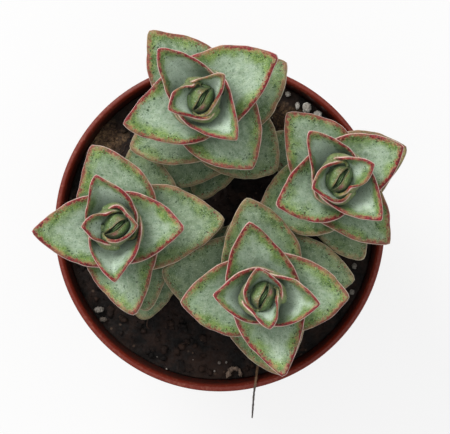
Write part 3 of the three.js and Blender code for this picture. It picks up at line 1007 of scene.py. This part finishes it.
def pot_material():
    """Satin red-brown plastic: faint moulding rings, scuffs, dust, a painted highlight on top of the lip,
    and painted shade on the inner wall, broken up like splashed soil.
    """
    p = Paint("pot_plastic_moulded")
    x, y, height = p.parts(p.place)
    outward = p.math("SQRT", p.math("ADD", p.product(x, x), p.product(y, y)))
    cloud = p.noise(p.place, 60.0)
    speck = p.noise(p.place, 1400.0, 3.0, 0.6)
    scratch = p.streaks(p.place, (260, 260, 40), 4.0, 0.7)
    face = p.mix(cloud, (100, 30, 18), (118, 38, 23))
    face = p.mix(p.step(speck, 0.58, 0.72, 0.0, 0.6), face, (138, 58, 38))
    face = p.mix(p.step(scratch, 0.66, 0.76, 0.0, 0.25), face, (168, 104, 84))
    # Painted highlight: the top of the lip is lighter, in specks.
    lip = p.product(
        p.step(height, 0.0655, 0.06602),
        p.step(outward, 0.0388, 0.0396),
        p.step(speck, 0.35, 0.65, 0.0, 0.16),
    )
    face = p.mix(lip, face, (150, 78, 58))
    # Painted shade on the inner wall, deeper towards the soil, broken up like splashed soil.
    inside = p.product(p.step(outward, 0.0393, 0.0386), p.step(height, 0.058, 0.0585))
    wall_shade_and_splash = p.torn(p.step(height, 0.0661, 0.0618), cloud, 0.9)
    wall_shade_and_splash = p.math("MULTIPLY", wall_shade_and_splash, p.step(speck, 0.42, 0.58, 0.35, 1.0), clamp=True)
    face = p.mix(p.product(inside, wall_shade_and_splash), face, (40, 24, 18))
    dust = p.product(p.step(speck, 0.5, 0.62), p.step(cloud, 0.42, 0.66, 0.0, 0.13))
    face = p.mix(dust, face, (170, 130, 108))
    waves = {"Vector": p.place, "Scale": 260.0, "Distortion": 0.6}
    moulding = p.node("ShaderNodeTexWave", waves, bands_direction="Z").outputs["Fac"]
    relief = p.math("ADD", p.product(moulding, 0.12), p.product(speck, 0.5))
    roughness = p.step(cloud, 0.3, 0.7, 0.44, 0.58)
    normal = p.bump(relief, 0.18, 0.0003)
    return p.finish(face, roughness, Normal=normal, IOR=1.49, Specular_IOR_Level=0.3)


def soil_material():
    """Dark damp peat with red-brown and grey flecks, and tufts of coir."""
    p = Paint("potting_mix")
    coarse = p.noise(p.place, 260.0, 5.0, 0.65)
    fine = p.noise(p.place, 1500.0, 4.0, 0.7)
    patch = p.noise(p.place, 70.0, 2.0)
    dark = p.mix(p.step(coarse, 0.38, 0.64), (11, 7, 6), (38, 24, 18))
    warm = p.mix(fine, (30, 19, 15), (70, 49, 38))
    base = p.mix(p.step(p.torn(p.value("tint"), fine, 0.5), 0.55, 1.05), dark, warm)
    base = p.mix(p.product(p.step(patch, 0.6, 0.75), 0.5), base, warm)
    coir = p.mix(p.step(fine, 0.35, 0.65), (58, 42, 29), (134, 106, 79))
    for place_m, reach_m in COIR_PATCHES:
        away = p.node("ShaderNodeVectorMath", {0: p.place, 1: place_m}, operation="DISTANCE")
        share = p.torn(p.math("DIVIDE", away.outputs["Value"], reach_m), coarse, 2.2)
        base = p.mix(p.step(share, 1.0, 0.35, 0.0, 0.85), base, coir)
    distance, chances = p.cells(p.place, 900.0)
    rare = p.product(p.math("GREATER_THAN", chances[0], 0.95), p.step(distance, 0.4, 0.2), 0.45)
    base = p.mix(rare, base, (104, 84, 70))
    relief = p.math("ADD", p.product(coarse, 0.6), p.product(fine, 0.4))
    roughness = p.step(fine, 0.3, 0.7, 0.7, 0.95)
    return p.finish(base, roughness, Normal=p.bump(relief, 0.7, 0.0006), Specular_IOR_Level=0.3)


def pumice_material():
    """Off-white, pitted and stained with soil low down."""
    p = Paint("pumice_grain")
    coarse = p.noise(p.place, 700.0, 4.0, 0.6)
    base = p.mix(p.step(coarse, 0.3, 0.7), (160, 152, 142), (226, 221, 213))
    grey = p.mix(coarse, (54, 47, 41), (116, 109, 100))
    base = p.mix(p.step(p.value("tint"), 0.1, 1.6, 0.0, 0.95), base, grey)
    pit = p.step(p.cells(p.place, 2600.0)[0], 0.36, 0.18)
    base = p.mix(p.product(pit, 0.35), base, (84, 72, 62))
    low = p.step(p.parts(p.place)["Z"], 0.0612, 0.0600)
    base = p.mix(p.product(low, p.step(coarse, 0.35, 0.6), 0.7), base, (66, 48, 38))
    return p.finish(base, 0.9, Normal=p.bump(p.math("SUBTRACT", coarse, pit), 0.6, 0.0002))


def fibre_material(name, dark, light):
    """Dry plant stuff: streaked along its length, with dark flecks."""
    p = Paint(name)
    streak = p.streaks(p.place, (2400, 500, 900), 3.0, 0.6)
    fleck = p.noise(p.place, 2200.0, 3.0, 0.6)
    base = p.mix(p.step(streak, 0.3, 0.7), dark, light)
    base = p.mix(p.product(p.step(fleck, 0.6, 0.7), 0.6), base, (48, 36, 28))
    base = p.mix(p.product(p.value("tint"), 0.35), base, dark)
    return p.finish(base, 0.85, Normal=p.bump(p.math("ADD", streak, fleck), 0.5, 0.0001))


def stalk_material():
    """Tan-brown where it starts, weathered to grey at its far end."""
    p = Paint("dry_stalk_bark")
    streak = p.streaks(p.place, (3000, 400, 900), 3.0, 0.6)
    near = p.mix(p.step(streak, 0.3, 0.7), (96, 66, 46), (150, 118, 88))
    far = p.mix(p.step(streak, 0.3, 0.7), (58, 52, 50), (96, 90, 86))
    base = p.mix(p.step(p.value("tint"), 0.45, 0.62), near, far)
    return p.finish(base, 0.8, Normal=p.bump(streak, 0.5, 0.0001))


# Pot


def wall_radius(height):
    return FOOT_RADIUS + height / COLLAR_FOOT * WALL_FLARE


def collar_radius(height):
    return COLLAR_RADIUS + (height - COLLAR_FOOT) / COLLAR_DROP


def on_wall(height, inward=0.0):
    return wall_radius(height) - inward, height


def on_collar(height, inward=0.0):
    return collar_radius(height) - inward, height


def rounded(corner, before, after, reach, steps=5):
    """Points of a small bend that takes the place of a corner of a profile."""
    corner, before, after = (np.array(point, dtype=float) for point in (corner, before, after))
    start = corner + unit(before - corner) * reach
    end = corner + unit(after - corner) * reach
    return [bow(start, corner, end, share) for share in np.linspace(0, 1, steps)]


def pot_profile():
    """Radius and height round the pot's wall: under the floor, up outside, over the lip, down
    inside. Each corner has the reach of its bend."""
    floor_top = FLOOR_RISE + FLOOR_THICKNESS
    corners = [
        ((HUB_RADIUS, 0), 0.5),
        ((HUB_RADIUS + 1, FLOOR_RISE), 0.5),
        ((RING_INNER - 1, FLOOR_RISE), 0.5),
        ((RING_INNER, 0), 0.4),
        ((FOOT_RADIUS - 0.1, 0), 0.7),
        (on_wall(5), 0.3),
        (on_wall(COLLAR_FOOT - 0.4), 0.35),
        (on_collar(COLLAR_FOOT), 0.45),
        (on_collar(POT_HEIGHT - 1.8), 0.5),
        ((RIM_RADIUS, POT_HEIGHT - 1.2), 0.35),
        ((RIM_RADIUS, POT_HEIGHT - 0.1), 0.42),
        ((RIM_RADIUS - 1, POT_HEIGHT + 0.05), 0.3),
        ((RIM_RADIUS - 1.65, POT_HEIGHT - 0.7), 0.4),
        (on_collar(COLLAR_FOOT + WALL, WALL), 0.5),
        (on_wall(COLLAR_FOOT, WALL), 0.5),
        (on_wall(5, WALL), 0.4),
        ((RING_INNER, floor_top), 0.8),
        ((HUB_RADIUS - 1.4, floor_top), 0.5),
        ((HUB_RADIUS - 2.4, FLOOR_THICKNESS), 0.5),
    ]
    places = [(0, 0)] + [corner for corner, reach in corners] + [(0, FLOOR_THICKNESS)]
    points = places[:1]
    for index, (corner, reach) in enumerate(corners):
        points.extend(rounded(corner, places[index], places[index + 2], reach))
    return finer(points + places[-1:], 4.0)


def finer(points, longest):
    """Cuts the long stretches of a line of points into shorter ones."""
    made = [np.array(points[0])]
    for a, b in zip(points, points[1:]):
        a, b = np.array(a), np.array(b)
        parts = max(1, math.ceil(math.dist(a, b) / longest))
        made.extend(a + (b - a) * part / parts for part in range(1, parts + 1))
    return made


def floor_cutters():
    """Upright rods where the floor has its drain holes, and blocks where the foot ring is notched."""
    bodies = []
    middle = (HUB_RADIUS + RING_INNER) / 2
    corners = np.array([[20, -2, -1], [32, -2.4, -1], [32, 2.4, -1], [20, 2, -1]])
    block = np.stack([corners * [1, 0.6, 1] + [0, 0, 1.9], corners])
    rod = np.stack([ring(full_turn(32), DRAIN_RADIUS, level) for level in (6.0, -1.0)])
    for hole in range(DRAIN_HOLES):
        degrees = 360 * hole / DRAIN_HOLES
        turn = math.radians(degrees)
        place = [middle * math.cos(turn), middle * math.sin(turn), 0]
        bodies.append(closed_body(rod + place))
        bodies.append(closed_body(block).turned(degrees + 180 / DRAIN_HOLES))
    return bodies


def add_pot(material):
    profile = pot_profile()
    grid = np.stack([ring(full_turn(POT_SIDES), r, h) for r, h in profile[1:-1]])
    pot = make_object("pot_shell", [closed_body(grid, (0, 0, 0), (0, 0, FLOOR_THICKNESS))], material)
    cutter = make_object("cutter", floor_cutters(), material)
    cut = pot.modifiers.new("holes", "BOOLEAN")
    cut.object = cutter
    cut.solver = "EXACT"
    graph = bpy.context.evaluated_depsgraph_get()
    mesh = bpy.data.meshes.new_from_object(pot.evaluated_get(graph))
    pot.modifiers.clear()
    pot.data = mesh
    bpy.data.objects.remove(cutter)
    mesh.set_sharp_from_angle(angle=math.radians(50))
    keep(pot, "pot_plastic", "pot")


# Soil and what lies on it

# Where tufts of brown coir come up through the peat: a place in metres, and how far it reaches.
COIR_PATCHES = [((-0.0282, 0.0212, 0.060), 0.0056), ((0.0155, 0.0268, 0.060), 0.0044)]
# Small perlite bits near the front rim: place and half size.
PERLITE_SPOTS = [(-0.1, -33.5, 0.35), (1.6, -33.4, 0.33), (-1.3, -35.6, 0.27), (-13.1, -35.0, 0.26)]
# The larger loose grains: name, place, and how grey the grain is.
GRAINS = [
    ("grain_back_large", (21.3, 29.1), 0.1),
    ("grain_back_slim", (19, 29.5), 0.5),
    ("grain_back_grey", (23.9, 27.2), 0.6),
    ("grain_back_far", (16.7, 32.4), 0.8),
    ("grain_left_large", (-29.6, -20.4), 1.1),
    ("grain_left_small", (-28.5, -22.8), 1.6),
    ("grain_right_inner", (32.9, -9.7), 1.2),
    ("grain_right_outer", (32.4, -16.1), 1.2),
]
HUSK_MIDDLE = (3.6, -36.2)
HUSK_REACH = 1.42
STALK = [
    (9.3, -34.4, 60.5),
    (9.1, -35.2, 63),
    (8.9, -36.4, 65.6),
    (8.6, -38.2, 66.95),
    (8.3, -40.4, 67.2),
    (8.1, -43.2, 66.6),
    (7.9, -46.4, 65.2),
]
STALK_STEPS = 70
STALK_SIDES = 14
# Places that loose bits stay away from, and how far.
TAKEN_PLACES = [(*plant["foot"], STEM_RADIUS + 0.9) for plant in PLANTS]
TAKEN_PLACES += [(*place, 1.9) for name, place, grey in GRAINS]
TAKEN_PLACES += [(x, y, 1.1) for x, y, size in PERLITE_SPOTS]
TAKEN_PLACES += [(*HUSK_MIDDLE, 2.9), (*STALK[0][:2], 1.2)]


def soil_top(x, y):
    lumps = np.sin(0.31 * x + 1.2) * np.cos(0.27 * y - 0.4) + 0.6 * np.sin(0.13 * x - 0.19 * y)
    return SOIL_LEVEL + SOIL_RELIEF * lumps


def crumble(x, y):
    """Height of the loose surface above the plain lie of the soil, at each of some points."""
    flat = []
    for a, b in zip(np.ravel(x), np.ravel(y)):
        near = noise.voronoi(Vector((a / 1.9, b / 1.9, 0.3)))[0]
        tiny = noise.voronoi(Vector((a / 0.8, b / 0.8, 4.1)))[0]
        swell = noise.noise(Vector((a / 3.5, b / 3.5, 8.0)))
        flat.append(0.55 * (0.5 - near[0]) + 0.24 * (0.5 - tiny[0]) + 0.45 * swell)
    return np.array(flat).reshape(np.shape(x))


def soil_body():
    """Rings of the soil from the middle of its top out to the wall, then down and in under it."""
    clear = WALL + SOIL_CLEARANCE
    outer = collar_radius(SOIL_LEVEL) - clear
    turn = full_turn(SOIL_SIDES)
    reach = np.linspace(0, outer, SOIL_RINGS)[1:, None]
    x, y = reach * np.cos(turn), reach * np.sin(turn)
    loose = 0.25 + 0.75 * smooth_step(outer + 0.1, outer - 1.2, reach)
    top = np.stack([x, y, soil_top(x, y) + crumble(x, y) * loose], axis=-1)
    sides = [(outer, SOIL_LEVEL - 1.5), on_collar(55, clear)]
    sides += [on_wall(height, clear) for height in (51, 30, 6)]
    sides += [(radius, SOIL_FOOT) for radius in (23.5, 0.5)]
    grid = np.concatenate([top, [ring(turn, r, h) for r, h in sides]])
    return closed_body(grid, (0, 0, SOIL_LEVEL), (0, 0, SOIL_FOOT), tint=0.5)


def lump_body(half, seed, tint, subdivisions=2, rough=0.5, reach=1.1):
    """A rough grain: a ball pushed in and out, then squeezed to its half sizes."""
    mesh = bmesh.new()
    bmesh.ops.create_icosphere(mesh, subdivisions=subdivisions, radius=1.0)
    points = np.array([vertex.co[:] for vertex in mesh.verts])
    faces = [tuple(vertex.index for vertex in face.verts) for face in mesh.faces]
    mesh.free()
    shift = Vector((seed * 3.1, seed * 1.7, seed * 0.9))
    push = []
    for point in points:
        spot = Vector(point) / reach + shift
        cell = noise.voronoi(spot * 1.6)[0][0]
        push.append(1 + rough * (0.5 - cell) + 0.5 * rough * noise.noise(spot * 2.5))
    return Body(points * np.array(push)[:, None] * np.array(half), faces, tint=tint)


def open_place(dice, reach):
    """A random place on the soil that is clear of the stems and of what already lies there."""
    while True:
        x, y = dice.uniform(-reach, reach, size=2)
        taken = any(math.hypot(x - a, y - b) < gap for a, b, gap in TAKEN_PLACES)
        if math.hypot(x, y) < reach and not taken:
            return x, y


def crumb_bodies():
    dice = np.random.default_rng(11)
    bodies = []
    for number in range(CRUMB_COUNT):
        size = 0.28 + 0.85 * dice.random() ** 2.6
        x, y = open_place(dice, 37.0 - size)
        half = size * dice.uniform(0.7, 1.2, size=3) * [1, 1, 0.8]
        body = lump_body(half, number, dice.random(), subdivisions=1 if size < 0.5 else 2, rough=0.85)
        bodies.append(body.moved([x, y, soil_top(x, y) + 0.12 + 0.25 * size]))
    return bodies


def perlite_bodies():
    dice = np.random.default_rng(5)
    spots = list(PERLITE_SPOTS)
    for number in range(PERLITE_COUNT):
        spots.append((*open_place(dice, 36.0), 0.14 + 0.3 * dice.random() ** 3))
    bodies = []
    for number, (x, y, size) in enumerate(spots):
        half = size * dice.uniform(0.75, 1.25, size=3)
        body = lump_body(half, number + 40, 0.5 + 0.7 * dice.random())
        bodies.append(body.moved([x, y, soil_top(x, y) + 0.3 + 0.4 * size]))
    return bodies


def tube_body(path, radius, tint, sides=6, seed=0, rough=0.15):
    """A round strand along a path, with closed ends."""
    ahead = unit(np.gradient(path, axis=0))
    first = unit(np.cross(ahead, [0.13, 0.21, 0.97]))
    second = np.cross(ahead, first)
    turn = full_turn(sides)
    rings = []
    for index, place in enumerate(path):
        size = radius[index] * (1 + rough * np.sin(3 * turn + index * 1.3 + seed))
        across = np.outer(size * np.cos(turn), first[index]) + np.outer(size * np.sin(turn), second[index])
        rings.append(place + across)
    start = path[0] - ahead[0] * radius[0] * 0.5
    end = path[-1] + ahead[-1] * radius[-1] * 0.5
    return closed_body(np.stack(rings), start, end, tint=tint)


def fibre_places(dice):
    """Where loose strands lie, and how long they are: some anywhere, and short ones in the tufts."""
    for number in range(FIBRE_COUNT):
        long = dice.uniform(2.5, 7.5)
        yield (*open_place(dice, 35.5 - long / 2), long)
    for place_m, reach_m in COIR_PATCHES:
        for number in range(TUFT_COUNT):
            x, y = dice.normal(0, 0.32 * reach_m / MM, size=2)
            yield place_m[0] / MM + x, place_m[1] / MM + y, dice.uniform(1.2, 3.2)


def fibre_bodies():
    dice = np.random.default_rng(23)
    bodies = []
    for number, (x, y, long) in enumerate(fibre_places(dice)):
        heading = dice.uniform(0, math.pi)
        steps = np.linspace(-0.5, 0.5, 9)
        sway = dice.uniform(-0.35, 0.35) * long
        across = sway * steps**2 + 0.2 * np.sin(9 * steps + number)
        px = x + long * steps * math.cos(heading) - across * math.sin(heading)
        py = y + long * steps * math.sin(heading) + across * math.cos(heading)
        lift = 0.45 + dice.uniform(0.1, 0.5) * (1 - 4 * steps**2)
        path = np.stack([px, py, soil_top(px, py) + lift], axis=-1)
        radius = dice.uniform(0.07, 0.15) * (1 - 1.2 * steps**2)
        bodies.append(tube_body(path, radius, dice.random(), seed=number))
    return bodies


def node_box(name):
    """Lowest and highest corners of a node, in millimetres."""
    low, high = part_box(name)
    return np.array(low) / MM, np.array(high) / MM


def add_grains(material):
    for number, (name, place, grey) in enumerate(GRAINS):
        low, high = node_box(name)
        size = (high - low) / 2
        body = lump_body(size, (number + 1) * 2.3, grey, subdivisions=4, reach=0.8)
        body.points = body.points * size / np.abs(body.points).max(axis=0)
        body.moved((low + high) / 2)
        keep(make_object(name + "_rough", [body], material), "pumice", name)


def husk_body():
    """A curled scale: a hoop, open below, with a thick left side and torn ends."""
    low, high = node_box("husk")
    half_height = (high[2] - low[2]) / 2
    middle = np.array([*HUSK_MIDDLE, low[2] + half_height])
    around = full_turn(20)
    level, rise = signed_power(np.cos(around), 0.8), signed_power(np.sin(around), 0.8)
    rings = []
    for share in np.linspace(0, 1, 60):
        turn = blend(math.pi + 0.45, -0.35, share)
        thin = 0.7 - 0.32 * share + 0.07 * math.sin(7 * share * math.pi)
        tall = 0.72 + 0.28 * math.sin(math.pi * share) ** 0.5 + 0.05 * math.sin(15 * share)
        wave = 0.1 * math.sin(11 * turn) + 0.07 * math.sin(23 * turn + 1)
        out = np.array([math.cos(turn), math.sin(turn), 0])
        side = HUSK_REACH + wave * 0.7 + level * thin + 0.14 * np.sin(around)
        rings.append(middle + np.outer(side, out) + np.outer(rise * half_height * tall, [0, 0, 1]))
    return closed_body(np.stack(rings), tint=0.5)


def smooth_line(points, count):
    """A Catmull-Rom curve through points, with evenly shared steps between them."""
    points = np.array(points, dtype=float)
    padded = np.concatenate([[2 * points[0] - points[1]], points, [2 * points[-1] - points[-2]]])
    made = []
    for place in np.linspace(0, len(points) - 1, count):
        index = min(int(place), len(points) - 2)
        t = place - index
        a, b, c, d = padded[index : index + 4]
        square, cube = 2 * a - 5 * b + 4 * c - d, 3 * b - a - 3 * c + d
        made.append(0.5 * (2 * b + (c - a) * t + square * t**2 + cube * t**3))
    return np.array(made)


def stalk_body():
    share = np.linspace(0, 1, STALK_STEPS)
    radius = 0.33 * (1 - 0.42 * share) * (1 + 0.1 * np.sin(37 * share))
    for knot in (0.12, 0.47, 0.52, 0.83):
        radius = radius * (1 + 0.35 * bell(share, knot, 0.014))
    along = with_ends(np.repeat(share, STALK_SIDES), 0, 1)
    return tube_body(smooth_line(STALK, STALK_STEPS), radius, along, sides=STALK_SIDES, rough=0.12)


def build():
    leaf, bark, soil, pumice = leaf_material(), stem_material(), soil_material(), pumice_material()
    coir = fibre_material("coir_fibre", (44, 28, 20), (92, 64, 46))
    paper = fibre_material("husk_scale", (62, 48, 40), (134, 114, 98))
    for number, plant in enumerate(PLANTS):
        leaves = make_object(plant["name"] + "_leaves", plant_leaves(plant, number + 1), leaf)
        keep(leaves, "leaf", "leafy_stem_" + plant["name"])
        axis = make_object(plant["name"] + "_axis", [plant_axis(plant, number + 1)], bark)
        keep(axis, "leaf")
    add_pot(pot_material())
    keep(make_object("soil_bed", [soil_body()], soil), "soil", "soil")
    keep(make_object("soil_crumbs", crumb_bodies(), soil), "soil")
    keep(make_object("soil_fibres", fibre_bodies(), coir), "soil")
    keep(make_object("perlite_bits", perlite_bodies(), pumice), "pumice")
    add_grains(pumice)
    keep(make_object("husk_curl", [husk_body()], paper), "husk", "husk")
    keep(make_object("stalk_twig", [stalk_body()], stalk_material()), "dry_stalk", "dry_stalk")


# Camera, lights and floor


def aim(thing, place_m, target_m, up=(0, 0, 1)):
    """Puts a camera or light at a place so that it looks at a target."""
    ahead = (Vector(target_m) - Vector(place_m)).normalized()
    right = ahead.cross(Vector(up)).normalized()
    over = right.cross(ahead)
    turn = Matrix((right, over, -ahead)).transposed()
    thing.matrix_world = Matrix.Translation(Vector(place_m)) @ turn.to_4x4()


def add_camera():
    data = bpy.data.cameras.new("camera")
    data.lens = CAMERA_LENS
    data.sensor_width = SENSOR_WIDTH
    data.clip_start = 0.01
    camera = linked("camera", data)
    aim(camera, CAMERA_PLACE_M, CAMERA_AIM_M, up=(0, 1, 0))
    bpy.context.scene.camera = camera


def add_light(name, place_m, power, size_m, tint):
    data = bpy.data.lights.new(name, "AREA")
    data.shape = "DISK"
    data.energy = power
    data.size = size_m
    data.color = tint
    aim(linked(name, data), place_m, (0, 0, 0.08))


def add_room():
    world = bpy.data.worlds.new("studio")
    world.use_nodes = True
    sky = world.node_tree.nodes["Background"]
    sky.inputs["Color"].default_value = (0.97, 0.98, 1.0, 1)
    sky.inputs["Strength"].default_value = 0.435
    bpy.context.scene.world = world
    bpy.context.scene.view_settings.view_transform = "Standard"
    add_light("overhead", (-0.1, 0.15, 1.4), 8.0, 1.5, (1.0, 1.0, 1.0))
    add_light("window", (-0.55, 0.65, 0.95), 10.9, 0.6, (1.0, 0.99, 0.97))


def add_floor():
    """A pale sheet that glows a little, as on a light table."""
    half_m = 3.0
    mesh = bpy.data.meshes.new("floor")
    corners = [(-half_m, -half_m, 0), (half_m, -half_m, 0), (half_m, half_m, 0), (-half_m, half_m, 0)]
    mesh.from_pydata(corners, [], [(0, 1, 2, 3)])
    p = Paint("floor_paint")
    pale = p.mix(p.noise(p.place, 9.0, 2.0), (89, 89, 89), (95.2, 95.2, 95.2))
    mesh.materials.append(p.finish(pale, 0.8, Emission_Color=(1, 1, 1, 1), Emission_Strength=0.825))
    linked("floor", mesh)


build()
add_camera()
add_room()
add_floor()
